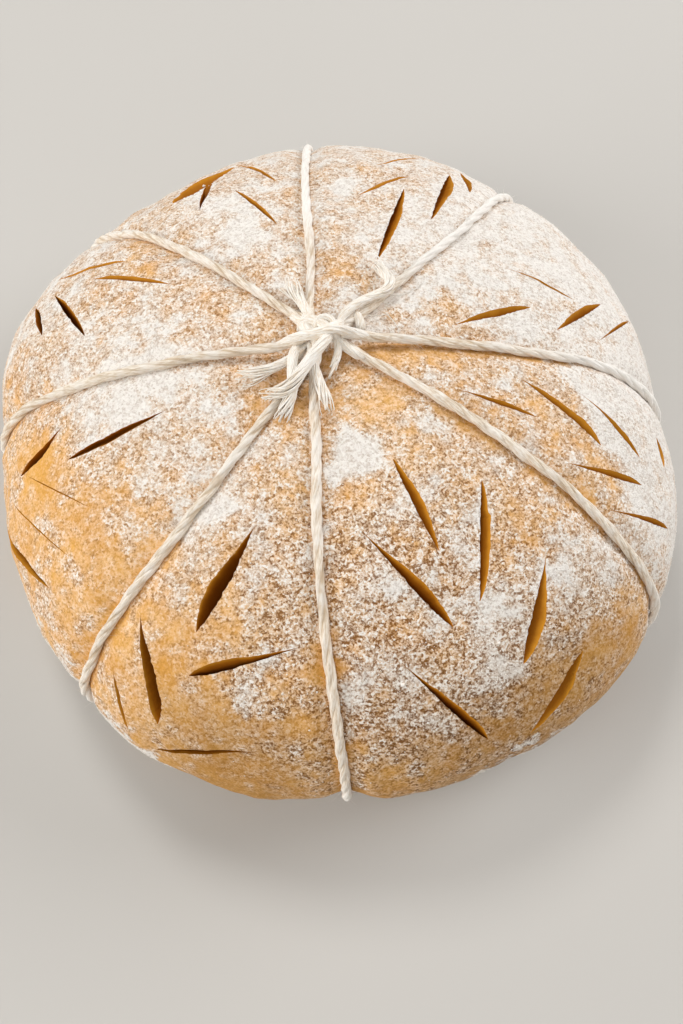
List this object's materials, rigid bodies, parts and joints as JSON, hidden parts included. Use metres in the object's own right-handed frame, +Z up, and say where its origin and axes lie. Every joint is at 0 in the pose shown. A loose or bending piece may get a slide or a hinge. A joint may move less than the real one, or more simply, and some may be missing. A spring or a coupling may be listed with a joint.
{
  "type": "pumpkin-shaped sourdough loaf",
  "caption": "Round sourdough loaf, drawn into pumpkin lobes by crossed cotton string knotted on the crown, dusted with flour and scored with slanting leaf cuts, ready to bake.",
  "frame": {"origin": "on the floor, under the middle of the loaf's flat base", "axes": "+Z up through the crown, -Y towards the front of the loaf, +X to its right"},
  "size_m": [0.2146, 0.2272, 0.0815],
  "materials": {
    "dough": "dry floured dough",
    "string": "undyed twisted cotton"
  },
  "bodies": {
    "root": {"loaf": "dough", "string_1": "string", "string_2": "string", "string_3": "string", "string_4": "string", "knot": "string"}
  },
  "joints": []
}
